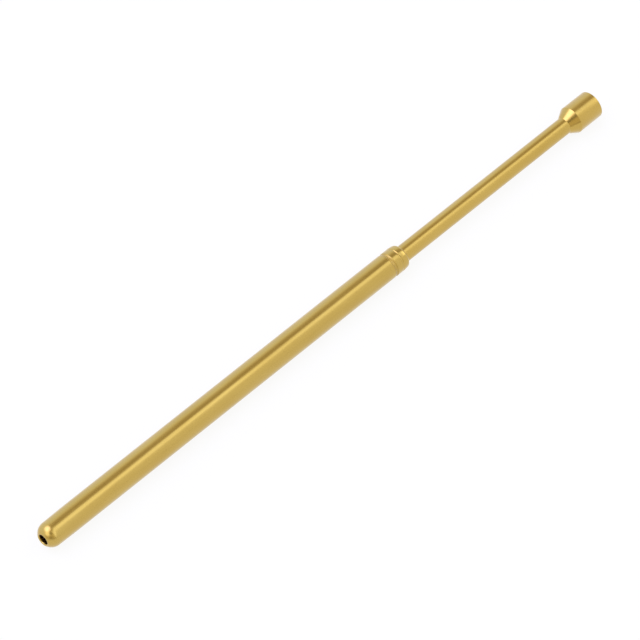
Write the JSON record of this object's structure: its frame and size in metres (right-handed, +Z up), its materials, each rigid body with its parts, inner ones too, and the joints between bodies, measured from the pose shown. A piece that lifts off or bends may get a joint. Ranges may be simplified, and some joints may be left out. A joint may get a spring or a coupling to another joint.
{
  "type": "pogo pin",
  "caption": "Spring-loaded contact probe: round-nosed tube with a rolled crimp holding a long-stroke plunger with a flat, cone-backed head.",
  "frame": {"origin": "on the pin's axis, where the straight barrel ends at the rolled groove", "axes": "+X along the pin's axis from the closed nose towards the plunger's head, +Z up as the pin lies"},
  "size_m": [0.0392, 0.0016, 0.0016],
  "materials": {
    "barrel_gold": "satin gold plating with fine drawing lines along the tube",
    "plunger_gold": "bright gold plating over turned metal",
    "spring_steel": "drawn spring wire"
  },
  "bodies": {
    "barrel": {"barrel": "barrel_gold", "spring": "spring_steel"},
    "plunger": {"plunger": "plunger_gold"}
  },
  "joints": [
    {"name": "plunger_slide", "type": "slide", "parent": "barrel", "child": "plunger", "axis": [-1, 0, 0], "range_m": [0, 0.01016], "stiffness_N_per_m": 175, "deforming": ["spring"]}
  ]
}
